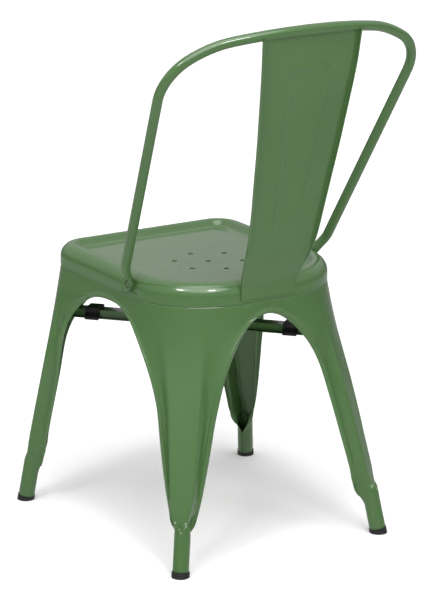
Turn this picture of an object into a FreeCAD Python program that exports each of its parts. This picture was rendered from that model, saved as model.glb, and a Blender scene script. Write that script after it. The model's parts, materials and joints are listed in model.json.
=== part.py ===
import FreeCAD, Part
import math
import os
from FreeCAD import Vector

# Stacking chair in pressed sheet steel.  Millimetres, +Z up, the seat faces -Y and the sitter's
# left is +X.  The origin is on the floor, midway between the extremes in X and in Y.

# ---- overall sizes -------------------------------------------------------------------------
SHEET = 1.5                      # thickness of the leg, seat and splat pressings
FRONT_FOOT = (216.0, -254.5)     # centre of a front foot on the floor
REAR_FOOT = (185.5, 184.5)       # centre of a rear foot on the floor
FRONT_LEAN = (0.115, 0.145)      # inward travel of a front tube per millimetre of height
REAR_LEAN = (0.150, 0.145)

# ---- seat ----------------------------------------------------------------------------------
CREST_Z = 438.0                  # top of the rolled rim
CREST_HALF_FRONT = 150.0         # half width across the crest at the front and at the rear
CREST_HALF_REAR = 147.5
CREST_FRONT_Y = -224.0
CREST_REAR_Y = 120.5
CREST_RADIUS_FRONT = 30.0        # plan corner radii of the crest line
CREST_RADIUS_REAR = 102.0
ROLL = 21.0                      # horizontal reach of the roll from the crest to the flange
FLANGE_Z = 403.0                 # lower edge of the seat flange
PAN_DROP = 12.0                  # depth of the dished pan under the crest
PAN_DISH = 2.0                   # share of that depth that the floor itself falls to the middle
PAN_WALL = 16.0                  # horizontal run of the wall between crest and pan floor
PAN_RIDGE = (-130.0, 40.0)       # ends of the centre line that the pan floor grid closes on
HOLE_DIAMETER = 9.0
HOLE_PITCH = 54.0
HOLE_CENTRE_Y = -31.0
RECESS_DEPTH = 3.5               # flat pressed into the side of the rim where the hoop is bolted
RECESS_Z = (405.0, 411.5)        # heights between which the flat sinks to its full depth
RECESS_HALF = 15.0               # half length of the flat, and the length of the slope at its ends
RECESS_SLOPE = 9.0
RECESS_SOFTNESS = 1.5

# ---- leg pressings -------------------------------------------------------------------------
FLUTE_BOTTOM_Z = 77.0            # below this the sheet is rolled into the round foot
TIP_Z = (66.0, 76.0)             # start of the change of section at the middle, beside the middle
SLIT_TOP_Z = 45.0                # and at the free edges, which meet in a slit below this
TIP_RISE = (9.0, 34.0)           # height of that change at the middle and at the free edges
SLIT_HALF = 0.4
SKIRT_TOP_Z = 414.5
JOGGLE_Z = (399.3, 403.6)        # the skirt steps in under the flange between these heights
LAP_GAP = 0.15                   # clearance between the skirt and the flange that covers it
SEAM_GAP = 0.1                   # half of the gap where two leg pressings meet
SIDE_SEAM_Y = -52.0
FLANGE_FLARE_FRONT = (0.17, 0.05)    # outward travel of the skirt faces per millimetre of drop
FLANGE_FLARE_REAR = (0.11, 0.16)
APEX_Z = 381.0                   # top of the arches, measured to the edge of the bead
FLUTE_FADE = (235.0, 372.0)      # heights between which the flutes run out into the skirt
ARCH_SPRING_Z = 215.0
ARCH_FULLNESS = {"front": 2.0, "side": 2.6, "rear": 2.0}
FRONT_TURN = 57.0                # angle of the crown's normal from the Y axis, in degrees
REAR_TURN = 42.5
FRONT_CROWN = (                  # (height, X and Y of the crown's middle outside the tube's axis)
    (77.0, 9.3, 4.0),
    (110.0, 9.8, 4.6),
    (150.0, 8.8, 5.1),
    (200.0, 6.9, 5.8),
    (250.0, 5.2, 6.5),
    (372.0, 3.5, 8.0),
)
REAR_CROWN = (
    (77.0, 7.2, 2.6),
    (110.0, 6.3, 1.7),
    (150.0, 5.6, -0.7),
    (200.0, 4.8, -3.5),
    (250.0, 3.6, -7.0),
    (372.0, 4.3, -17.0),
)
HALF_WIDTH = (                   # (height, half width of the leg across its free edges)
    (77.0, 20.5),
    (110.0, 27.2),
    (150.0, 34.0),
    (200.0, 41.3),
    (266.0, 49.0),
    (430.0, 66.0),
)
CROWN_HALF = ((77.0, 9.0), (113.0, 16.0), (150.0, 18.0), (200.0, 20.3), (330.0, 27.0), (385.0, 29.5))
WEB_RUN = ((77.0, 6.5), (113.0, 6.5), (150.0, 8.0), (204.0, 11.0), (330.0, 15.0), (385.0, 16.0))
FRONT_DROP = ((77.0, 27.0), (110.0, 25.0), (200.0, 25.0), (250.0, 23.5), (330.0, 18.0), (385.0, 16.5))
REAR_DROP = ((77.0, 26.5), (110.0, 20.8), (200.0, 18.8), (330.0, 16.5), (385.0, 16.0))
BEAD_WIDTH = 9.5
BEAD_HEIGHT = 1.8
BEAD_TURN = 4.0                  # how far the free edge turns in behind the bead
NOTCH_Z = 404.6                  # the skirt is cut away above this behind the hoop's flat
BEAD_WIDTH = 9.5
BEAD_HEIGHT = 1.8
BEAD_TURN = 4.0                  # how far the free edge turns in behind the bead

# ---- rolled feet and glides ----------------------------------------------------------------
TUBE_RADIUS = 13.0
GLIDE_RADIUS = 14.0
GLIDE_HEIGHT = 8.5
SPIGOT_HEIGHT = 14.0
SPIGOT_CLEARANCE = 0.6

# ---- braces and bumpers --------------------------------------------------------------------
BRACE_TOP_Z = 332.0
BRACE_HEIGHT = 13.5
BRACE_WIDTH = 22.0
BRACE_SHEET = 1.5
BRACE_LIP = 5.0
BUMPER_LENGTH = 23.0
BUMPER_FROM_END = 62.0
BUMPER_TOP = 3.5                 # wall of the bumper over the bar
BUMPER_SIDE = 3.0
BUMPER_SKIRT = 1.5               # how far the bumper hangs below the bar

# ---- back ----------------------------------------------------------------------------------
HOOP_RADIUS = 7.75
HOOP_WALL = 1.4
HOOP_ROUTE = (                   # corner points of the left half, from the seat to the middle
    (183.3, 10.8, 424.0),
    (229.2, 209.9, 790.0),
    (152.9, 228.7, 828.2),
    (0.0, 282.6, 854.5),
)
HOOP_BENDS = (75.0, 204.0, 332.0)    # bend radii at the second to fourth corner points
HOOP_END_Z = 458.0                   # height at which the round tube starts to flatten
BOLT_Y = 8.0
BOLT_Z = 421.5
BOLT_RADIUS = 3.0
BOLT_TIP = 9.0                   # how far the bolt reaches in past the flat
HEAD_RADIUS = 6.0
HEAD_HEIGHT = 3.3
WASHER_RADIUS = 5.0
WASHER_THICKNESS = 1.2
NUT_CORNER = 5.8
NUT_HEIGHT = 5.0
TONGUE_HALF = 10.0                   # half width of the flattened end and radius of its tip
TONGUE_THICKNESS = 7.5
TONGUE_STEP = 0.15                   # the flattened end starts this much smaller than the tube
TONGUE_DIMPLE = (13.0, 2.4)          # radius and depth of the hollow punched in around the bolt
SEAT_CIRCLE = (6.4, 2.6)             # radius and depth of the flat that the bolt head sits on

# ---- splat ---------------------------------------------------------------------------------
SPLAT_PROFILE = (                # (height, Y of the front face, half width)
    (408.0, 141.7, 50.0),
    (420.0, 141.7, 50.0),
    (429.0, 141.9, 50.0),
    (437.0, 144.5, 51.5),
    (450.0, 151.5, 55.5),
    (470.0, 161.5, 59.0),
    (500.0, 174.0, 61.5),
    (550.0, 189.0, 64.5),
    (600.0, 202.0, 68.5),
    (655.0, 216.5, 73.0),
    (710.0, 229.5, 77.5),
    (770.0, 243.0, 82.5),
    (826.0, 253.5, 86.5),
)
SPLAT_FLANGE = 8.0
SPLAT_FLANGE_LEAST = 1.2
SPLAT_BEND = 2.5
SPLAT_FLANGE_RISE = (436.0, 520.0)   # the side flanges grow to full depth between these heights
SPLAT_BOW = 5.0                      # how far the middle of the top stands behind its corners
SPLAT_RISE = (9.0, 4.0)              # the top edge rises this much, and this much more in the middle
RIB_HALF = ((505.0, 15.5), (770.0, 35.0))
RIB_TOP_Z = 786.0
RIB_CORNER = 12.0
RIB_WIDTH = 8.0
RIB_HEIGHT = 1.6

def smooth(t):
    """Cubic ease from 0 to 1."""
    t = min(1.0, max(0.0, t))
    return t * t * (3.0 - 2.0 * t)


def mix(a, b, t):
    return a + (b - a) * t


def along(stations, z, column=1):
    """Smooth interpolation by height of one column of a table whose first column is the height."""
    last = len(stations) - 1
    z = min(stations[last][0], max(stations[0][0], z))
    k = 0
    while k < last - 1 and z > stations[k + 1][0]:
        k += 1
    before = stations[max(0, k - 1)]
    start = stations[k]
    end = stations[k + 1]
    after = stations[min(last, k + 2)]
    height = end[0] - start[0]
    t = (z - start[0]) / height
    slope_in = (end[column] - before[column]) / (end[0] - before[0]) * height
    slope_out = (after[column] - start[column]) / (after[0] - start[0]) * height
    value = mix(start[column], end[column], smooth(t))
    return value + (t ** 3 - 2 * t ** 2 + t) * slope_in + (t ** 3 - t ** 2) * slope_out


# ---- surfaces through grids of points --------------------------------------------------------
def chord_parameters(grid):
    """Mean normalised chord length of the rows of a grid."""
    total = [0.0] * len(grid[0])
    for row in grid:
        run = [0.0]
        for p, q in zip(row, row[1:]):
            run.append(run[-1] + max(p.distanceToPoint(q), 1e-6))
        for i, s in enumerate(run):
            total[i] += s / run[-1] / len(grid)
    total[0] = 0.0
    total[-1] = 1.0
    return total


def spline_through(points, parameters):
    curve = Part.BSplineCurve()
    curve.interpolate(Points=points, Parameters=parameters)
    return curve


def surface_through(grid, across, up):
    """Bicubic surface whose iso-lines interpolate the rows, then the columns, of the grid."""
    rows = [spline_through(row, across) for row in grid]
    columns = []
    for i in range(rows[0].NbPoles):
        columns.append(spline_through([row.getPole(i + 1) for row in rows], up))
    poles = [[c.getPole(j + 1) for j in range(columns[0].NbPoles)] for c in columns]
    face = Part.BSplineSurface()
    face.buildFromPolesMultsKnots(
        poles,
        rows[0].getMultiplicities(),
        columns[0].getMultiplicities(),
        rows[0].getKnots(),
        columns[0].getKnots(),
        False,
        False,
        3,
        3,
    )
    return face


def strip_between(p, q):
    """Ruled face between two curves that share their knots."""
    strip = Part.BSplineSurface()
    strip.buildFromPolesMultsKnots(
        [p.getPoles(), q.getPoles()],
        [2, 2],
        p.getMultiplicities(),
        [0.0, 1.0],
        p.getKnots(),
        False,
        False,
        1,
        3,
    )
    return strip.toShape()


def transposed(grid):
    return [list(column) for column in zip(*grid)]


def sheet_solid(outer, inner, splits=()):
    """Closed solid between two matching grids; splits are rows where the edge has a corner."""
    across = chord_parameters(outer)
    ends = [0] + list(splits) + [len(outer) - 1]
    faces = []
    for first, last in zip(ends, ends[1:]):
        patches = []
        for grid in (outer, inner):
            part = grid[first:last + 1]
            up = chord_parameters(transposed(outer[first:last + 1]))
            patches.append(surface_through(part, across, up))
        a, b = patches
        faces += [a.toShape(), b.toShape()]
        u0, u1, v0, v1 = a.bounds()
        rims = [(a.uIso(u0), b.uIso(u0)), (a.uIso(u1), b.uIso(u1))]
        if first == 0:
            rims.append((a.vIso(v0), b.vIso(v0)))
        if last == len(outer) - 1:
            rims.append((a.vIso(v1), b.vIso(v1)))
        for p, q in rims:
            faces.append(strip_between(p, q))
    shell = Part.Shell(faces)
    shell.sewShape()
    solid = Part.Solid(shell)
    if solid.Volume < 0:
        shell.reverse()
        solid = Part.Solid(shell)
    return solid


def offset_grid(grid, distance):
    """Grid moved along its normals, rows crossed with columns, away from their positive side."""
    moved = []
    for j, row in enumerate(grid):
        above = grid[min(j + 1, len(grid) - 1)]
        below = grid[max(j - 1, 0)]
        moved_row = []
        for i, p in enumerate(row):
            across = row[min(i + 1, len(row) - 1)] - row[max(i - 1, 0)]
            normal = across.cross(above[i] - below[i]).normalize()
            moved_row.append(p - normal * distance)
        moved.append(moved_row)
    return moved


def mirrored(shape):
    return shape.mirror(Vector(0, 0, 0), Vector(1, 0, 0))


def export(name, shape):
    if not shape.isValid():
        shape.fix(0.01, 0.01, 0.01)
    print(name, "valid" if shape.isValid() else "INVALID", len(shape.Solids), round(shape.Volume))
    shape.exportStep(os.path.join("parts", name + ".step"))


# ---- seat pan --------------------------------------------------------------------------------
def seat_outline(offset):
    """Left half of the seat's plan outline, from mid-front to mid-rear, outside the crest line."""
    wf = CREST_HALF_FRONT + offset
    wr = CREST_HALF_REAR + offset
    yf = CREST_FRONT_Y - offset
    yr = CREST_REAR_Y + offset
    rf = CREST_RADIUS_FRONT + offset
    rr = CREST_RADIUS_REAR + offset
    lean = math.atan2(wf - wr, yr - yf)
    xf = wf - rf * (1.0 / math.cos(lean) + math.tan(lean))
    xr = wr - rr * (1.0 / math.cos(lean) - math.tan(lean))
    points = [(xf * k / 8, yf) for k in range(8)]
    for k in range(13):
        angle = mix(-math.pi / 2, lean, k / 12)
        points.append((xf + rf * math.cos(angle), yf + rf + rf * math.sin(angle)))
    x0, y0 = points[-1]
    x1 = xr + rr * math.cos(lean)
    y1 = yr - rr + rr * math.sin(lean)
    for share in [k / 8 for k in range(1, 7)] + [mix(0.80, 1.0, k / 12) for k in range(12)]:
        points.append((mix(x0, x1, share), mix(y0, y1, share)))
    for share in [k / 40 for k in range(10)] + [mix(0.25, 1.0, k / 14) for k in range(15)]:
        angle = mix(lean, math.pi / 2, share)
        points.append((xr + rr * math.cos(angle), yr - rr + rr * math.sin(angle)))
    for k in range(1, 5):
        points.append((xr * (1.0 - k / 4), yr))
    return points


def recessed(p):
    """Point of the rim moved in to the flat that the hoop is bolted against."""
    end = smooth((RECESS_HALF + RECESS_SLOPE - abs(p.y - BOLT_Y)) / RECESS_SLOPE)
    rise = smooth((p.z - RECESS_Z[0]) / (RECESS_Z[1] - RECESS_Z[0]))
    sunk = soft_positive(p.x - (flange_x(p.y) - RECESS_DEPTH))
    return Vector(p.x - end * rise * sunk, p.y, p.z)


def soft_positive(value):
    """The value where it is well above zero, fading to zero where it is well below."""
    return (value + math.hypot(value, RECESS_SOFTNESS)) / 2


def seat_rows():
    """Grid of the seat's outer face: flange, roll, wall of the dish, then the pan floor."""
    profile = [(ROLL, FLANGE_Z + rise) for rise in (0.0, 2.0, 3.7, 5.3, 7.0, 8.7, 11.0)]
    rise = CREST_Z - FLANGE_Z - 13.0
    for k in range(11):
        angle = math.radians(90.0 * k / 10)
        profile.append((ROLL * math.cos(angle), FLANGE_Z + 13.0 + rise * math.sin(angle)))
    for k in range(1, 9):
        profile.append((-PAN_WALL * k / 8, CREST_Z - (PAN_DROP - PAN_DISH) * smooth(k / 8)))
    rows = [[recessed(Vector(x, y, z)) for x, y in seat_outline(offset)] for offset, z in profile]
    rim = rows[-1]
    shares = chord_parameters([rim])
    for k in range(1, 9):
        t = k / 8
        drop = Vector(0, 0, PAN_DISH * smooth(t))
        ridge = [Vector(0, mix(PAN_RIDGE[0], PAN_RIDGE[1], share), rim[0].z) for share in shares]
        rows.append([p * (1 - t) + q * t - drop for p, q in zip(rim, ridge)])
    return rows


def seat_pan():
    outer = seat_rows()
    inner = []
    for j, row in enumerate(outer):
        above = outer[min(j + 1, len(outer) - 1)]
        below = outer[max(j - 1, 0)]
        inner_row = []
        for i, p in enumerate(row):
            du = row[min(i + 1, len(row) - 1)] - row[max(i - 1, 0)]
            normal = du.cross(above[i] - below[i])
            if p.x < 1e-6:
                normal.x = 0.0
            if j >= len(outer) - 2:
                normal = Vector(0, 0, 1)
            inner_row.append(p - normal.normalize() * SHEET)
        inner.append(inner_row)
    half = sheet_solid(outer, inner)
    body = half.fuse(mirrored(half))
    holes = [(0.0, HOLE_CENTRE_Y)]
    for k in range(6):
        angle = math.radians(30.0 + 60.0 * k)
        holes.append((HOLE_PITCH * math.cos(angle), HOLE_CENTRE_Y + HOLE_PITCH * math.sin(angle)))
    for x, y in holes:
        body = body.cut(Part.makeCylinder(HOLE_DIAMETER / 2, 30.0, Vector(x, y, CREST_Z - 25.0)))
    return body.cut(bolt_drill(BOLT_RADIUS + 0.2))


def bolt_drill(radius):
    """Drill for both hoop bolts, right across the chair under the pan."""
    return Part.makeCylinder(radius, 500.0, Vector(-250.0, BOLT_Y, BOLT_Z), Vector(1, 0, 0))


# ---- leg pressings ---------------------------------------------------------------------------
class Corner:
    """One left-hand corner of the chair; front is -1 or rear is +1 in Y."""

    def __init__(self, front):
        self.front = front
        self.sign = -1.0 if front else 1.0
        self.foot = Vector(*(FRONT_FOOT if front else REAR_FOOT), 0)
        lean = FRONT_LEAN if front else REAR_LEAN
        angle = math.radians(FRONT_TURN if front else REAR_TURN)
        self.out = Vector(math.sin(angle), self.sign * math.cos(angle), 0)
        self.side = Vector(-math.cos(angle), self.sign * math.sin(angle), 0)
        self.crown = FRONT_CROWN if front else REAR_CROWN
        self.drop = FRONT_DROP if front else REAR_DROP
        self.axis = Vector(-lean[0], -self.sign * lean[1], 1.0)
        self.radius = (CREST_RADIUS_FRONT if front else CREST_RADIUS_REAR) + ROLL
        self.arches = ("side", "front" if front else "rear")
        self.edges = (self.arch_edge(0), self.arch_edge(1))

    def tube_centre(self, z):
        return self.foot + self.axis * z

    def skirt_corner(self, z, front):
        """Plan position of the sharp corner of the skirt faces, and their plan radius."""
        sign = -1.0 if front else 1.0
        x = (CREST_HALF_FRONT if front else CREST_HALF_REAR) + ROLL
        y = abs(CREST_FRONT_Y if front else CREST_REAR_Y) + ROLL
        flare = FLANGE_FLARE_FRONT if front else FLANGE_FLARE_REAR
        drop = max(0.0, JOGGLE_Z[0] - z)
        tuck = (SHEET + LAP_GAP) * smooth((z - JOGGLE_Z[0]) / (JOGGLE_Z[1] - JOGGLE_Z[0]))
        return Vector(x + flare[0] * drop - tuck, sign * (y + flare[1] * drop - tuck), z), tuck

    def skirt_frame(self, z):
        here, tuck = self.skirt_corner(z, self.front)
        other, tuck = self.skirt_corner(z, not self.front)
        to_side = (other - here).normalize()
        to_end = Vector(-1, 0, 0)
        radius = self.radius - tuck
        turn = math.pi - to_side.getAngle(to_end)
        return here, to_side, to_end, radius, turn

    def seam(self, z, index):
        """Distance along the sheet from the spine to the seam with the next pressing."""
        here, to_side, to_end, radius, turn = self.skirt_frame(z)
        if index == 1:
            straight = here.x - SEAM_GAP
        else:
            straight = (abs(here.y - SIDE_SEAM_Y) - SEAM_GAP) / abs(to_side.y)
        return straight - radius * math.tan(turn / 2) + radius * turn / 2

    def skirt_point(self, a, z):
        here, to_side, to_end, radius, turn = self.skirt_frame(z)
        toward = to_end if a >= 0 else to_side
        away = to_side if a >= 0 else to_end
        inward = (toward + away).normalize()
        arc = radius * turn / 2
        if abs(a) >= arc:
            return here + toward * (radius * math.tan(turn / 2) + abs(a) - arc)
        across = (toward - away).normalize()
        angle = abs(a) / radius
        centre = here + inward * (radius / math.cos(turn / 2))
        return centre - inward * (radius * math.cos(angle)) + across * (radius * math.sin(angle))

    def flute_depth(self, a, z):
        return along(self.drop, z) * smooth((abs(a) - along(CROWN_HALF, z)) / along(WEB_RUN, z))

    def leg_point(self, a, z):
        """Hat section: a flat crown facing outwards, steep webs and two narrow flanges."""
        crown = self.tube_centre(z)
        crown += Vector(along(self.crown, z, 1), self.sign * along(self.crown, z, 2), 0)
        return crown + self.side * a - self.out * self.flute_depth(a, z)

    def foot_point(self, share, z):
        """Rolled foot: a tube square to its axis, with the free edges of the sheet at the inside."""
        unit = Vector(self.axis).normalize()
        out = (self.out - unit * self.out.dot(unit)).normalize()
        side = (self.side - unit * self.side.dot(unit) - out * self.side.dot(out)).normalize()
        angle = share * (math.pi - SLIT_HALF / TUBE_RADIUS)
        centre = self.tube_centre(z)
        return centre + out * (TUBE_RADIUS * math.cos(angle)) + side * (TUBE_RADIUS * math.sin(angle))

    def section_change(self, share, z):
        """0 where the sheet is rolled round, 1 where it has the hat section."""
        share = abs(share)
        outward = smooth((share - 0.2) / 0.8)
        start = mix(mix(TIP_Z[0], TIP_Z[1], smooth(share / 0.2)), SLIT_TOP_Z, outward)
        return smooth((z - start) / mix(TIP_RISE[0], TIP_RISE[1], outward))

    def half_width(self, z, index):
        """Distance along the sheet from the spine to the free edge, or to the seam over the arch."""
        seam = self.seam(z, index)
        if z >= APEX_Z:
            return seam
        plain = along(HALF_WIDTH, z)
        if z <= ARCH_SPRING_Z:
            return plain
        fullness = ARCH_FULLNESS[self.arches[index]]
        t = (z - ARCH_SPRING_Z) / (APEX_Z - ARCH_SPRING_Z)
        return plain + (seam - plain) * (1.0 - (1.0 - t ** fullness) ** (1.0 / fullness))

    def arch_edge(self, index):
        points = []
        for k in range(49):
            t = math.sin(math.pi / 2 * k / 48)
            z = mix(FLUTE_BOTTOM_Z - 6.0, APEX_Z, t)
            points.append((self.half_width(z, index), z))
        points.append((self.half_width(APEX_Z, index) + 30.0, APEX_Z))
        return points

    def edge_distance(self, a, z):
        """Distance in the sheet from a point to the free edge."""
        best = 1e9
        a0 = abs(a)
        edge = self.edges[1 if a >= 0 else 0]
        for (p, q), (r, s) in zip(edge, edge[1:]):
            length = (r - p) ** 2 + (s - q) ** 2
            t = ((a0 - p) * (r - p) + (z - q) * (s - q)) / length
            t = min(1.0, max(0.0, t))
            best = min(best, (a0 - p - t * (r - p)) ** 2 + (z - q - t * (s - q)) ** 2)
        return math.sqrt(best)

    def bead(self, a, z):
        q = self.edge_distance(a, z) / BEAD_WIDTH
        if q >= 1.0:
            return 0.0
        ridge = BEAD_HEIGHT * math.sin(math.pi * q) ** 2
        turn = BEAD_TURN * max(0.0, 1.0 - q / 0.35) ** 2
        return (ridge - turn) * smooth((z - FLUTE_BOTTOM_Z) / 18.0)

    def base_point(self, a, z):
        blend = smooth((z - FLUTE_FADE[0]) / (FLUTE_FADE[1] - FLUTE_FADE[0]))
        if blend >= 1.0:
            return self.skirt_point(a, z)
        if blend <= 0.0:
            return self.leg_point(a, z)
        return self.leg_point(a, z) * (1.0 - blend) + self.skirt_point(a, z) * blend

    def point(self, a, z):
        p = self.base_point(a, z)
        height = self.bead(a, z)
        if abs(height) < 1e-9:
            return p
        along_a = self.base_point(a + 0.1, z) - self.base_point(a - 0.1, z)
        along_z = self.base_point(a, z + 0.1) - self.base_point(a, z - 0.1)
        outward = along_a.cross(along_z).normalize() * self.sign
        return p + outward * height

    def heights(self):
        """Heights of the grid rows, closer together at the foot and where the arch runs level."""
        bottom = GLIDE_HEIGHT / self.axis.Length
        rows = [mix(bottom, SLIT_TOP_Z, k / 4) for k in range(4)]
        rows += [mix(SLIT_TOP_Z, 96.0, k / 17) for k in range(17)]
        for k in range(31):
            rows.append(mix(96.0, APEX_Z, math.sin(math.pi / 2 * k / 30)))
        split = len(rows) - 1
        rows += [382.5, 384.5, 387.0, 390.0, 393.5, 396.5, 398.5]
        for k in range(7):
            rows.append(mix(JOGGLE_Z[0], JOGGLE_Z[1], k / 6))
        rows += [405.0, 407.0, 410.5, SKIRT_TOP_Z]
        return rows, split

    def marks(self, z, index):
        """Places of the grid columns from the spine to the edge: even steps, then the bead."""
        width = self.half_width(z, index)
        sign = 1.0 if index == 1 else -1.0
        samples = 60
        plain = width - BEAD_WIDTH
        run = [0.0]
        for k in range(samples):
            step = self.base_point(sign * plain * (k + 1) / samples, z)
            run.append(run[-1] + step.distanceToPoint(self.base_point(sign * plain * k / samples, z)))
        places = []
        k = 0
        for step in range(15):
            target = run[-1] * step / 15
            while run[k + 1] < target:
                k += 1
            part = (target - run[k]) / (run[k + 1] - run[k])
            places.append(plain * (k + part) / samples)
        places += [width - BEAD_WIDTH * f for f in (1.0, 0.8, 0.62, 0.46, 0.3, 0.14, 0.0)]
        return [sign * a for a in places]

    def row(self, z):
        """Points of the outer face at one height, from the side arch's edge to the end arch's."""
        halves = []
        for index in (0, 1):
            places = self.marks(z, index)
            points = [self.point(a, z) for a in places]
            if z < 96.0:
                run = [0.0]
                for p, q in zip(points, points[1:]):
                    run.append(run[-1] + p.distanceToPoint(q))
                sign = 1.0 if index == 1 else -1.0
                for k, p in enumerate(points):
                    share = sign * run[k] / run[-1]
                    change = self.section_change(share, z)
                    points[k] = self.foot_point(share, z) * (1.0 - change) + p * change
            halves.append(points)
        return list(reversed(halves[0])) + halves[1][1:]

    def pressing(self):
        rows, split = self.heights()
        outer = [self.row(z) for z in rows]
        inner = offset_grid(outer, SHEET * self.sign)
        sheet = sheet_solid(outer, inner, (split,))
        if self.front:
            return sheet
        reach = RECESS_HALF + RECESS_SLOPE + 2.0
        corner = Vector(CREST_HALF_REAR, BOLT_Y - reach, NOTCH_Z)
        return sheet.cut(Part.makeBox(2 * ROLL, 2 * reach, SKIRT_TOP_Z, corner))

    def glide(self):
        unit = self.axis * (1.0 / self.axis.Length)
        disc = Part.makeCylinder(GLIDE_RADIUS, GLIDE_HEIGHT + 8.0, self.foot - unit * 8.0, self.axis)
        spigot_radius = TUBE_RADIUS - SHEET - SPIGOT_CLEARANCE
        top = self.foot + unit * GLIDE_HEIGHT
        body = disc.fuse(Part.makeCylinder(spigot_radius, SPIGOT_HEIGHT, top, self.axis))
        floor = Part.makeBox(200, 200, 50, Vector(self.foot.x - 100, self.foot.y - 100, -50))
        return body.cut(floor)


# ---- braces and bumpers ----------------------------------------------------------------------
def brace_line(front_corner, rear_corner):
    """Ends of the diagonal bar from the left front leg to the right rear leg, inside the legs."""
    z = BRACE_TOP_Z
    a = front_corner.base_point(0.0, z)
    b = rear_corner.base_point(0.0, z)
    b = Vector(-b.x, b.y, b.z)
    unit = (b - a).normalize()
    reach = SHEET + 5.0
    return a + unit * reach, b - unit * reach, unit


def bar_section(start, end, width, height, sheet, lip, drop):
    """Inverted channel with small outward lips, from start to end with its top face at start.z."""
    unit = (end - start).normalize()
    side = Vector(0, 0, 1).cross(unit)
    half = width / 2.0
    outline = [
        (-half - lip, -height), (-half - lip, -height + sheet), (-half, -height + sheet),
        (-half, 0.0), (half, 0.0), (half, -height + sheet), (half + lip, -height + sheet),
        (half + lip, -height), (half - sheet, -height), (half - sheet, -sheet),
        (-half + sheet, -sheet), (-half + sheet, -height),
    ]
    points = [start + side * s + Vector(0, 0, h - drop) for s, h in outline]
    face = Part.Face(Part.makePolygon(points + [points[0]]))
    return face.extrude(end - start)


def braces(front_corner, rear_corner):
    """One bar runs through; the other is two halves butted and welded against its sides."""
    start, end, unit = brace_line(front_corner, rear_corner)
    bar = bar_section(start, end, BRACE_WIDTH, BRACE_HEIGHT, BRACE_SHEET, BRACE_LIP, 0.0)
    other = mirrored(bar)
    crossing_y = start.y - start.x * (end.y - start.y) / (end.x - start.x)
    half_gap = BRACE_WIDTH / 2 + BRACE_LIP + 0.1
    block = Part.makeBox(2 * half_gap, 900, 4 * BRACE_HEIGHT, Vector(-half_gap, -450, -2 * BRACE_HEIGHT))
    block.rotate(Vector(0, 0, 0), Vector(0, 0, 1), math.degrees(math.atan2(unit.y, unit.x)) - 90.0)
    block.translate(Vector(0, crossing_y, BRACE_TOP_Z))
    halves = sorted(other.cut(block).Solids, key=lambda solid: solid.CenterOfMass.y)
    return bar, halves[0], halves[1]


def bumper(front_corner, rear_corner, from_front):
    start, end, unit = brace_line(front_corner, rear_corner)
    centre = start + unit * BUMPER_FROM_END if from_front else end - unit * BUMPER_FROM_END
    side = Vector(0, 0, 1).cross(unit)
    clear = 0.1
    half = BRACE_WIDTH / 2.0 + clear
    lip = half + BRACE_LIP + clear
    wall = BUMPER_SIDE
    low = -BRACE_HEIGHT - BUMPER_SKIRT
    outline = [
        (-lip - wall, low), (-lip - wall, -BRACE_HEIGHT + 3.0), (-half - wall, -BRACE_HEIGHT * 0.3),
        (-half - wall, BUMPER_TOP), (half + wall, BUMPER_TOP), (half + wall, -BRACE_HEIGHT * 0.3),
        (lip + wall, -BRACE_HEIGHT + 3.0), (lip + wall, low),
        (lip, low), (lip, -BRACE_HEIGHT + BRACE_SHEET + clear), (half, -BRACE_HEIGHT + BRACE_SHEET + clear),
        (half, clear), (-half, clear), (-half, -BRACE_HEIGHT + BRACE_SHEET + clear),
        (-lip, -BRACE_HEIGHT + BRACE_SHEET + clear), (-lip, low),
    ]
    first = centre - unit * (BUMPER_LENGTH / 2)
    points = [first + side * s + Vector(0, 0, h) for s, h in outline]
    face = Part.Face(Part.makePolygon(points + [points[0]]))
    return face.extrude(unit * BUMPER_LENGTH)


# ---- hoop ------------------------------------------------------------------------------------
def rounded_route(points, radii):
    """Straight runs joined by tangent arcs."""
    edges = []
    current = points[0]
    for before, here, after, radius in zip(points, points[1:], points[2:], radii):
        a = (before - here).normalize()
        b = (after - here).normalize()
        half = a.getAngle(b) / 2.0
        reach = radius / math.tan(half)
        centre = here + (a + b).normalize() * (radius / math.sin(half))
        start = here + a * reach
        end = here + b * reach
        edges.append(Part.makeLine(current, start))
        edges.append(Part.Arc(start, centre + (here - centre).normalize() * radius, end).toShape())
        current = end
    edges.append(Part.makeLine(current, points[-1]))
    return Part.Wire(edges)


def hoop_tube(radius):
    """Solid bar of a given radius along the whole round part of the hoop."""
    half = [hoop_start()] + [Vector(*p) for p in HOOP_ROUTE[1:]]
    route = half + [Vector(-p.x, p.y, p.z) for p in reversed(half[:-1])]
    path = rounded_route(route, HOOP_BENDS + tuple(reversed(HOOP_BENDS[:-1])))
    ring = Part.Wire(Part.makeCircle(radius, route[0], route[1] - route[0]))
    return path.makePipeShell([ring], True, False)


def hoop_start():
    low = Vector(*HOOP_ROUTE[0])
    high = Vector(*HOOP_ROUTE[1])
    return low + (high - low) * ((HOOP_END_Z - low.z) / (high.z - low.z))


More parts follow.
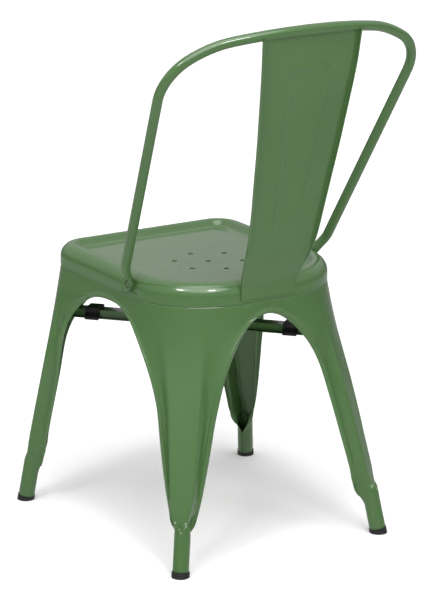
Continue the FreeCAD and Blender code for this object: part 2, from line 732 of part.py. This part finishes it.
def tongue():
    """Flattened left end of the hoop, bent in to lie on the seat's flat and dimpled for the bolt."""
    start = hoop_start()
    direction = (Vector(*HOOP_ROUTE[1]) - start).normalize()
    pad = Vector(flat_x() + LAP_GAP + TONGUE_THICKNESS / 2, BOLT_Y, BOLT_Z)
    up = (Vector(0, direction.y, direction.z)).normalize()
    sections = [oval(start, direction, HOOP_RADIUS - TONGUE_STEP, HOOP_RADIUS - TONGUE_STEP)]
    for travel, share in ((0.30, 0.15), (0.55, 0.50), (0.78, 0.85), (1.0, 1.0)):
        centre = start + (pad - start) * travel
        centre.x = mix(start.x - (start.z - centre.z) * direction.x / direction.z, pad.x, smooth(travel))
        half_x = mix(HOOP_RADIUS, TONGUE_THICKNESS / 2, share)
        sections.append(oval(centre, mix(direction, up, share), half_x, mix(HOOP_RADIUS, TONGUE_HALF, share)))
    body = Part.makeLoft(sections, True, False)
    across = Vector(-TONGUE_THICKNESS / 2, 0, 0)
    body = body.fuse(Part.makeCylinder(TONGUE_HALF, TONGUE_THICKNESS, pad + across, Vector(1, 0, 0)))
    radius, depth = TONGUE_DIMPLE
    outside = Vector(pad.x + TONGUE_THICKNESS / 2, BOLT_Y, BOLT_Z)
    low = outside + Vector(radius - depth, 0, 0)
    rise = (up + Vector(0.25, 0, 0)) * 14.0
    groove = Part.makeCylinder(radius, rise.Length, low, rise)
    body = body.cut(Part.makeSphere(radius, low).fuse(groove))
    radius, depth = SEAT_CIRCLE
    return body.cut(Part.makeCylinder(radius, radius, outside - Vector(depth, 0, 0), Vector(1, 0, 0)))


def flat_x():
    """X of the outer face of the flat on the left side of the seat."""
    return flange_x(BOLT_Y) - soft_positive(RECESS_DEPTH)


def oval(centre, normal, half_x, half_y):
    """Closed oval wire normal to a direction, its first half axis in the XZ plane."""
    across = Vector(0, 1, 0).cross(normal).normalize()
    other = normal.cross(across).normalize()
    points = []
    for k in range(16):
        angle = 2 * math.pi * k / 16
        points.append(centre + across * (half_x * math.cos(angle)) + other * (half_y * math.sin(angle)))
    curve = Part.BSplineCurve()
    curve.interpolate(Points=points, PeriodicFlag=True)
    return Part.Wire(curve.toShape())


def flange_x(y):
    """Outer face of the seat side flange at a given Y, where the side is straight."""
    t = (y - (CREST_FRONT_Y - ROLL)) / ((CREST_REAR_Y + ROLL) - (CREST_FRONT_Y - ROLL))
    return mix(CREST_HALF_FRONT, CREST_HALF_REAR, t) + ROLL


# ---- splat -----------------------------------------------------------------------------------
def rib_height(x, z):
    """Raised rib in the shape of an upturned U, open at the bottom."""
    half = mix(RIB_HALF[0][1], RIB_HALF[1][1], (z - RIB_HALF[0][0]) / (RIB_HALF[1][0] - RIB_HALF[0][0]))
    inside_x = half - abs(x)
    inside_z = RIB_TOP_Z - z
    if inside_x > RIB_CORNER or inside_z > RIB_CORNER:
        gap = min(inside_x, inside_z)
    else:
        gap = RIB_CORNER - math.hypot(RIB_CORNER - inside_x, RIB_CORNER - inside_z)
    ridge = max(0.0, 1.0 - (gap / (RIB_WIDTH / 2)) ** 2) ** 2
    foot = smooth((z - RIB_HALF[0][0]) / 25.0)
    return RIB_HEIGHT * ridge * foot


def splat_point(s, z):
    """s runs -1..1 over the face, then on by the flange depth in millimetres past +/-1."""
    half = along(SPLAT_PROFILE, z, 2)
    front = along(SPLAT_PROFILE, z, 1)
    rise = smooth((z - SPLAT_FLANGE_RISE[0]) / (SPLAT_FLANGE_RISE[1] - SPLAT_FLANGE_RISE[0]))
    flange = mix(SPLAT_FLANGE_LEAST, SPLAT_FLANGE, rise)
    bow = SPLAT_BOW * max(0.0, (z - 560.0) / 270.0)
    sign = 1.0 if s >= 0 else -1.0
    t = abs(s)
    if t <= 1.0:
        x = (half - SPLAT_BEND) * t
        y = front + bow * (1.0 - t * t) + rib_height(x, z)
    else:
        bend = min(flange * 0.5, SPLAT_BEND)
        run = t - 1.0
        if run <= 1.0:
            angle = math.pi / 2 * run
            x = half - SPLAT_BEND + SPLAT_BEND * math.sin(angle)
            y = front + bend * (1.0 - math.cos(angle))
        else:
            x = half
            y = front + bend + (flange - bend) * (run - 1.0)
    middle = 1.0 - min(1.0, t) ** 2
    lift = (SPLAT_RISE[0] + SPLAT_RISE[1] * middle) * smooth((z - 786.0) / 40.0)
    return Vector(sign * x, y, z + lift)


def splat():
    levels = [408.0, 414.0, 420.0, 426.0, 430.0, 434.0, 438.0, 444.0, 452.0, 462.0, 475.0, 490.0]
    level = 505.0
    while level < 765.0:
        levels.append(level)
        level += 20.0
    levels += [767.0, 771.0, 774.0, 777.0, 780.0, 783.0, 786.0, 789.0, 792.0, 796.0, 804.0, 814.0, 826.0]
    marks = [3.0, 2.5, 2.0, 1.66, 1.33, 1.0] + [1.0 - k / 36 for k in range(1, 36)]
    across = marks + [0.0] + [-m for m in reversed(marks)]
    parameters = [[(s, z) for s in across] for z in levels]
    outer = []
    inner = []
    for row in parameters:
        outer_row = []
        inner_row = []
        for s, z in row:
            ds = 0.01
            p = splat_point(s, z)
            du = splat_point(s + ds, z) - splat_point(s - ds, z)
            dv = splat_point(s, z + 0.05) - splat_point(s, z - 0.05)
            if du.Length < 1e-9:
                du = Vector(0, 1, 0) * (1 if s > 0 else -1)
            normal = du.cross(dv).normalize()
            outer_row.append(p)
            inner_row.append(p - normal * SHEET)
        outer.append(outer_row)
        inner.append(inner_row)
    sheet = sheet_solid(outer, inner).cut(hoop_tube(HOOP_RADIUS + SEAM_GAP))
    return max(sheet.Solids, key=lambda solid: solid.Volume)


# ---- fasteners -------------------------------------------------------------------------------
def fasteners():
    """Left-hand bolt with a domed head, its washer and its nut."""
    out = Vector(1, 0, 0)
    seat = Vector(flat_x() + LAP_GAP + TONGUE_THICKNESS - SEAT_CIRCLE[1], BOLT_Y, BOLT_Z)
    inside = Vector(flat_x() - SHEET - LAP_GAP, BOLT_Y, BOLT_Z)
    tip = inside - out * BOLT_TIP
    shank = Part.makeCylinder(BOLT_RADIUS, seat.x - tip.x, tip, out)
    dome_radius = (HEAD_RADIUS ** 2 + HEAD_HEIGHT ** 2) / (2 * HEAD_HEIGHT)
    ball = Part.makeSphere(dome_radius, seat + out * (HEAD_HEIGHT - dome_radius))
    head = ball.common(Part.makeCylinder(HEAD_RADIUS, HEAD_HEIGHT, seat, out))
    washer_end = inside - out * WASHER_THICKNESS
    washer = Part.makeCylinder(WASHER_RADIUS, WASHER_THICKNESS, washer_end, out)
    washer = washer.cut(Part.makeCylinder(BOLT_RADIUS + 0.2, WASHER_THICKNESS, washer_end, out))
    nut_end = washer_end - out * (NUT_HEIGHT + 0.05)
    corners = []
    for k in range(7):
        angle = math.radians(60.0 * k)
        corners.append(nut_end + Vector(0, math.cos(angle), math.sin(angle)) * NUT_CORNER)
    nut = Part.Face(Part.makePolygon(corners)).extrude(out * NUT_HEIGHT)
    nut = nut.cut(Part.makeCylinder(BOLT_RADIUS + 0.05, NUT_HEIGHT, nut_end, out))
    return shank.fuse(head), washer, nut


def pair(shape):
    return Part.makeCompound([shape, mirrored(shape)])


os.makedirs("parts", exist_ok=True)
front = Corner(True)
rear = Corner(False)
for name, corner in (("front", front), ("rear", rear)):
    for label, shape in (("leg", corner.pressing()), ("foot_glide", corner.glide())):
        export(label + "_" + name + "_left", shape)
        export(label + "_" + name + "_right", mirrored(shape))
export("seat_pan", seat_pan())
bar, half_front, half_rear = braces(front, rear)
export("brace_through", bar)
export("brace_half_front", half_front)
export("brace_half_rear", half_rear)
for name, from_front in (("front", True), ("rear", False)):
    clip = bumper(front, rear, from_front)
    first = "left" if from_front else "right"
    second = "right" if from_front else "left"
    export("stacking_bumper_" + name + "_" + first, clip)
    export("stacking_bumper_" + name + "_" + second, mirrored(clip))
end = tongue()
tube = hoop_tube(HOOP_RADIUS).cut(hoop_tube(HOOP_RADIUS - HOOP_WALL))
export("back_hoop", tube.fuse([end, mirrored(end)]).cut(bolt_drill(BOLT_RADIUS + 0.05)))
export("back_splat", splat())
for label, shape in zip(("hoop_bolts", "hoop_washers", "hoop_nuts"), fasteners()):
    export(label, pair(shape))
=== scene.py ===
import json
import math

import bpy
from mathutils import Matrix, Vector

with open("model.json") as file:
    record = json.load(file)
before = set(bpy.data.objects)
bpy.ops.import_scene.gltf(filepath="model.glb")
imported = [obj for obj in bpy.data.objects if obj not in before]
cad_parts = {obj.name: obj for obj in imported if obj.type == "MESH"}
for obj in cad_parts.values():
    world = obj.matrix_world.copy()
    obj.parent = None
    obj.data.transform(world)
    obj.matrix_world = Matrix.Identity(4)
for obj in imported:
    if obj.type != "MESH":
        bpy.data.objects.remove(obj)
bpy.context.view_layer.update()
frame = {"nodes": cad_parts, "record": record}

# ---- camera -----------------------------------------------------------------------------------
CAMERA_AZIMUTH = math.radians(32.05)     # from the back of the chair (+Y) towards its left (+X)
CAMERA_HEIGHT = math.radians(14.90)
CAMERA_DISTANCE = 4.486
CAMERA_TARGET = Vector((0.0, -0.035, 0.420))
CAMERA_LENS = 169.24
CAMERA_SHIFT = (0.0165, -0.0600)

# ---- studio -----------------------------------------------------------------------------------
FLOOR_SIZE = 60.0
ROOM = (                                 # (height of the direction, brightness of the room there)
    (-1.0, 0.50),
    (-0.30, 0.46),
    (-0.06, 0.10),
    (0.06, 0.22),
    (0.26, 0.50),
    (1.0, 0.85),
)
SUN_STRENGTH = 2.15
SUN_SPREAD = math.radians(60.0)          # a very wide sun: one even, soft ceiling of light
SUN_AZIMUTH = math.radians(25.0)
SUN_HEIGHT = math.radians(62.0)

# name, azimuth from +Y towards +X and elevation in degrees, distance, (width, height), watts
SOFTBOXES = (
    ("softbox_left", 66.0, 45.0, 3.2, (0.45, 0.45), 17.0),
    ("softbox_right", 12.0, 45.0, 3.2, (0.45, 0.45), 17.0),
)

# ---- finishes: noise scales are in waves per metre, bump distances in metres ------------------
MIDDLE = (0.3, 0.7)                      # where most of a noise texture's values lie
NARROW = (0.35, 0.65)
PAINT_CLOUDS = 5.0
PAINT_GLOSS_PATCHES = 38.0
PAINT_ROUGHNESS = (0.13, 0.21)
PAINT_WAVES = (9.0, 0.0012, 0.12)        # noise scale, bump distance, strength
ORANGE_PEEL = (520.0, 0.00008, 0.12)
DUST_AND_SHEEN_FACING = (0.80, 1.0)                # how far a face must turn upwards to hold dust and the painted reflection of the bright room
DUST_AND_SHEEN_PATCHES = 22.0
DUST_AND_SHEEN_MOST = 0.16
SCUFF_LINES = (0.64, 0.72)               # noise values between which a scuff appears
SCUFF_MOST = 0.55
PLASTIC_GLOSS_PATCHES = {"bumper": 160.0, "glide": 200.0}
PLASTIC_IOR = 1.46

# ---- colours, linear --------------------------------------------------------------------------
GREEN = (0.062, 0.133, 0.044, 1.0)
GREEN_SHADE = (0.055, 0.122, 0.038, 1.0)
SCUFF = (0.11, 0.19, 0.085, 1.0)
# Paler grey-green for upward faces: partly dust, partly a painted reflection of the bright room
# overhead.
DUST_AND_SHEEN = (0.14, 0.19, 0.125, 1.0)
RUBBER = (0.012, 0.012, 0.013, 1.0)
RUBBER_SCUFF = (0.060, 0.058, 0.054, 1.0)
ZINC = (0.56, 0.57, 0.58, 1.0)
ZINC_DULL = (0.36, 0.36, 0.35, 1.0)


class Material:
    """A node material with a Principled shader and short calls that build its procedural inputs."""

    def __init__(self, name):
        self.material = bpy.data.materials.new(name)
        self.material.use_nodes = True
        self.tree = self.material.node_tree
        self.shader = self.tree.nodes["Principled BSDF"]
        self.place = self.node("ShaderNodeTexCoord").outputs["Object"]

    def node(self, kind, **settings):
        made = self.tree.nodes.new(kind)
        for key, value in settings.items():
            setattr(made, key, value)
        return made

    def join(self, source, target):
        self.tree.links.new(source, target)

    def constants(self, **values):
        """Sets values on the shader's own sockets; an underscore in a name stands for a space."""
        for key, value in values.items():
            self.shader.inputs[key.replace("_", " ")].default_value = value

    def stretched(self, scale):
        """Place scaled by a different amount along each axis, for a texture with a grain."""
        mapping = self.node("ShaderNodeMapping")
        mapping.inputs["Scale"].default_value = scale
        self.join(self.place, mapping.inputs["Vector"])
        return mapping.outputs["Vector"]

    def noise(self, scale, detail=3.0, vector=None):
        """Noise texture over the object's own coordinates, or over another vector."""
        made = self.node("ShaderNodeTexNoise")
        made.inputs["Scale"].default_value = scale
        made.inputs["Detail"].default_value = detail
        self.join(vector or self.place, made.inputs["Vector"])
        return made.outputs["Fac"]

    def span(self, value, low, high, start=0.0, end=1.0):
        """value, mapped from low..high to start..end and kept between them."""
        made = self.node("ShaderNodeMapRange")
        made.inputs["From Min"].default_value = low
        made.inputs["From Max"].default_value = high
        made.inputs["To Min"].default_value = start
        made.inputs["To Max"].default_value = end
        self.join(value, made.inputs["Value"])
        return made.outputs["Result"]

    def product(self, first, second):
        made = self.node("ShaderNodeMath", operation="MULTIPLY")
        self.join(first, made.inputs[0])
        self.join(second, made.inputs[1])
        return made.outputs[0]

    def blend(self, share, first, second):
        """Colour from first to second; each may be a colour or the output of a node."""
        made = self.node("ShaderNodeMix", data_type="RGBA")
        self.join(share, made.inputs[0])
        for socket, colour in ((made.inputs[6], first), (made.inputs[7], second)):
            if isinstance(colour, tuple):
                socket.default_value = colour
            else:
                self.join(colour, socket)
        return made.outputs[2]

    def height(self):
        """Height above the floor in metres."""
        made = self.node("ShaderNodeSeparateXYZ")
        self.join(self.place, made.inputs[0])
        return made.outputs["Z"]

    def facing_up(self):
        """1 where the surface faces straight up, 0 where it is vertical, -1 where it faces down."""
        geometry = self.node("ShaderNodeNewGeometry")
        parts = self.node("ShaderNodeSeparateXYZ")
        self.join(geometry.outputs["Normal"], parts.inputs[0])
        return parts.outputs["Z"]

    def bumps(self, *layers):
        """Bump layers, each (height output, distance in metres, strength)."""
        before = None
        for value, distance, strength in layers:
            bump = self.node("ShaderNodeBump")
            bump.inputs["Distance"].default_value = distance
            bump.inputs["Strength"].default_value = strength
            self.join(value, bump.inputs["Height"])
            if before:
                self.join(before, bump.inputs["Normal"])
            before = bump.outputs["Normal"]
        self.join(before, self.shader.inputs["Normal"])

    def finish(self, colour, roughness):
        self.join(colour, self.shader.inputs["Base Color"])
        self.join(roughness, self.shader.inputs["Roughness"])
        return self.material


def powder_coat(name, scuffs=None, dust_and_sheen=False):
    """Gloss green powder coat: faint orange peel, cloudy tone, uneven gloss and a little wear."""
    paint = Material(name)
    clouds = paint.span(paint.noise(PAINT_CLOUDS, 4.0), *NARROW)
    colour = paint.blend(clouds, GREEN, GREEN_SHADE)
    # Upward faces turn paler grey-green, most of all the seat floor: partly dust, partly a painted
    # reflection of the bright room overhead.
    if dust_and_sheen:
        upward_dust_and_sheen = paint.span(paint.facing_up(), *DUST_AND_SHEEN_FACING, 0.0, DUST_AND_SHEEN_MOST)
        patches = paint.span(paint.noise(DUST_AND_SHEEN_PATCHES, 6.0), *MIDDLE, 0.35, 1.0)
        colour = paint.blend(paint.product(upward_dust_and_sheen, patches), colour, DUST_AND_SHEEN)
    if scuffs:
        lines = paint.noise(1.0, 3.0, paint.stretched(scuffs["grain"]))
        worn = paint.product(paint.span(lines, *SCUFF_LINES, 0.0, SCUFF_MOST), scuffs["where"](paint))
        colour = paint.blend(worn, colour, SCUFF)
    roughness = paint.span(paint.noise(PAINT_GLOSS_PATCHES, 5.0), *MIDDLE, *PAINT_ROUGHNESS)
    layers = []
    for scale, distance, strength in (PAINT_WAVES, ORANGE_PEEL):
        layers.append((paint.noise(scale, 2.0), distance, strength))
    paint.bumps(*layers)
    paint.constants(Metallic=0.0, IOR=1.5, Coat_Weight=0.45, Coat_Roughness=0.06, Coat_IOR=1.5)
    return paint.finish(colour, roughness)


def near_floor(paint):
    """Wear on the rolled feet, where brooms and other chairs knock against them."""
    return paint.span(paint.height(), 0.05, 0.16, 1.0, 0.06)


def near_rim(paint):
    """Wear on the seat's rolled edge, where stacked chairs rub."""
    return paint.span(paint.height(), 0.418, 0.436, 0.15, 0.6)


def low_on_hoop(paint):
    """Wear near the bolted ends of the hoop."""
    return paint.span(paint.height(), 0.43, 0.62, 0.6, 0.08)


def seat_paint():
    return powder_coat("seat_paint_coat", {"grain": (18.0, 240.0, 60.0), "where": near_rim}, dust_and_sheen=True)


def leg_paint():
    return powder_coat("leg_paint_coat", {"grain": (300.0, 300.0, 24.0), "where": near_floor})


def hoop_paint():
    return powder_coat("hoop_paint_coat", {"grain": (260.0, 260.0, 40.0), "where": low_on_hoop})


def splat_paint():
    return powder_coat("splat_paint_coat")


def brace_paint():
    return powder_coat("brace_paint_coat", dust_and_sheen=True)


def bolt_paint():
    return powder_coat("bolt_paint_coat")


def moulded(name, wear, patches, roughness, grain):
    """Black moulded plastic with fine eroded grain; wear gives how far each place is rubbed pale."""
    plastic = Material(name)
    colour = plastic.blend(wear(plastic), RUBBER, RUBBER_SCUFF)
    finish = plastic.span(plastic.noise(patches, 3.0), *MIDDLE, *roughness)
    scale, distance = grain
    plastic.bumps((plastic.noise(scale, 3.0), distance, 0.4))
    plastic.constants(Metallic=0.0, IOR=PLASTIC_IOR)
    return plastic.finish(colour, finish)


def rubbed(plastic):
    """Scattered patches where stacked chairs rub."""
    return plastic.span(plastic.noise(70.0, 6.0), 0.55, 0.75, 0.0, 0.5)


def ground(plastic):
    """The lowest few millimetres, ground pale by the floor."""
    low = plastic.span(plastic.height(), 0.0, 0.003, 1.0, 0.0)
    return plastic.product(low, plastic.span(plastic.noise(180.0, 6.0), 0.35, 0.6))


def glide_plastic():
    return moulded("glide_plastic_moulded", ground, PLASTIC_GLOSS_PATCHES["glide"],
                   (0.42, 0.62), (1500.0, 0.00012))


def bumper_plastic():
    return moulded("bumper_plastic_moulded", rubbed, PLASTIC_GLOSS_PATCHES["bumper"],
                   (0.38, 0.55), (1100.0, 0.00015))


def zinc_hardware():
    """Zinc plate with a mottled dull bloom."""
    zinc = Material("zinc_hardware_plate")
    bloom = zinc.span(zinc.noise(240.0, 5.0), *NARROW)
    colour = zinc.blend(bloom, ZINC, ZINC_DULL)
    finish = zinc.span(zinc.noise(420.0, 4.0), *MIDDLE, 0.25, 0.5)
    zinc.bumps((zinc.noise(1800.0, 2.0), 0.00005, 0.3))
    zinc.constants(Metallic=1.0)
    return zinc.finish(colour, finish)


def paint_frame():
    """Gives every CAD node the finish of its material slot in the record."""
    makers = {
        "seat_paint": seat_paint,
        "leg_paint": leg_paint,
        "hoop_paint": hoop_paint,
        "splat_paint": splat_paint,
        "brace_paint": brace_paint,
        "bolt_paint": bolt_paint,
        "zinc_hardware": zinc_hardware,
        "bumper_plastic": bumper_plastic,
        "glide_plastic": glide_plastic,
    }
    made = {}
    for part in frame["record"]["subparts"]:
        slot = part["material_slot"]
        if slot not in made:
            made[slot] = makers[slot]()
        mesh = frame["nodes"][part["node"]].data
        mesh.materials.clear()
        mesh.materials.append(made[slot])


def direction(azimuth, elevation):
    """Unit vector, with the azimuth taken from +Y towards +X."""
    level = math.cos(elevation)
    return Vector((math.sin(azimuth) * level, math.cos(azimuth) * level, math.sin(elevation)))


def aim(thing, target):
    thing.rotation_euler = (target - thing.location).to_track_quat("-Z", "Y").to_euler()


def add_camera():
    data = bpy.data.cameras.new("camera")
    data.lens = CAMERA_LENS
    data.shift_x, data.shift_y = CAMERA_SHIFT
    camera = bpy.data.objects.new("camera", data)
    bpy.context.collection.objects.link(camera)
    camera.location = CAMERA_TARGET + CAMERA_DISTANCE * direction(CAMERA_AZIMUTH, CAMERA_HEIGHT)
    aim(camera, CAMERA_TARGET)
    bpy.context.scene.camera = camera


def add_softboxes():
    for name, azimuth, elevation, distance, size, watts in SOFTBOXES:
        data = bpy.data.lights.new(name, "AREA")
        data.shape = "RECTANGLE"
        data.size, data.size_y = size
        data.energy = watts
        light = bpy.data.objects.new(name, data)
        bpy.context.collection.objects.link(light)
        place = direction(math.radians(azimuth), math.radians(elevation))
        light.location = CAMERA_TARGET + distance * place
        aim(light, CAMERA_TARGET)


def add_sun():
    data = bpy.data.lights.new("ceiling_light", "SUN")
    data.energy = SUN_STRENGTH
    data.angle = SUN_SPREAD
    sun = bpy.data.objects.new("ceiling_light", data)
    bpy.context.collection.objects.link(sun)
    sun.location = CAMERA_TARGET + CAMERA_DISTANCE * direction(SUN_AZIMUTH, SUN_HEIGHT)
    aim(sun, CAMERA_TARGET)


def add_world():
    """Room light that changes only with height: dim at the horizon, bright overhead."""
    world = bpy.data.worlds.new("studio")
    world.use_nodes = True
    tree = world.node_tree
    place = tree.nodes.new("ShaderNodeTexCoord")
    parts = tree.nodes.new("ShaderNodeSeparateXYZ")
    rise = tree.nodes.new("ShaderNodeMapRange")
    rise.inputs["From Min"].default_value = -1.0
    room = tree.nodes.new("ShaderNodeValToRGB")
    stops = room.color_ramp.elements
    stops.remove(stops[1])
    for index, (height, level) in enumerate(ROOM):
        stop = stops[0] if index == 0 else stops.new(0.5 + height / 2)
        stop.position = 0.5 + height / 2
        stop.color = (level, level, level, 1.0)
    background = tree.nodes["Background"]
    tree.links.new(place.outputs["Generated"], parts.inputs[0])
    tree.links.new(parts.outputs["Z"], rise.inputs["Value"])
    tree.links.new(rise.outputs["Result"], room.inputs["Fac"])
    tree.links.new(room.outputs["Color"], background.inputs["Color"])
    bpy.context.scene.world = world
    bpy.context.scene.view_settings.view_transform = "Standard"


def add_floor():
    half = FLOOR_SIZE / 2
    corners = [(-half, -half, 0.0), (half, -half, 0.0), (half, half, 0.0), (-half, half, 0.0)]
    mesh = bpy.data.meshes.new("floor")
    mesh.from_pydata(corners, [], [(0, 1, 2, 3)])
    floor = bpy.data.objects.new("floor", mesh)
    bpy.context.collection.objects.link(floor)
    paper = Material("studio_floor")
    shade = paper.span(paper.noise(3.0, 2.0), *MIDDLE)
    colour = paper.blend(shade, (0.93, 0.93, 0.93, 1.0), (0.95, 0.95, 0.95, 1.0))
    mesh.materials.append(paper.finish(colour, paper.span(paper.noise(40.0), 0.0, 1.0, 0.85, 0.95)))
    # Reflections show the dimmer room instead, so that the tubes keep dark edges.
    floor.visible_glossy = False


add_camera()
add_world()
add_sun()
add_softboxes()
add_floor()
paint_frame()
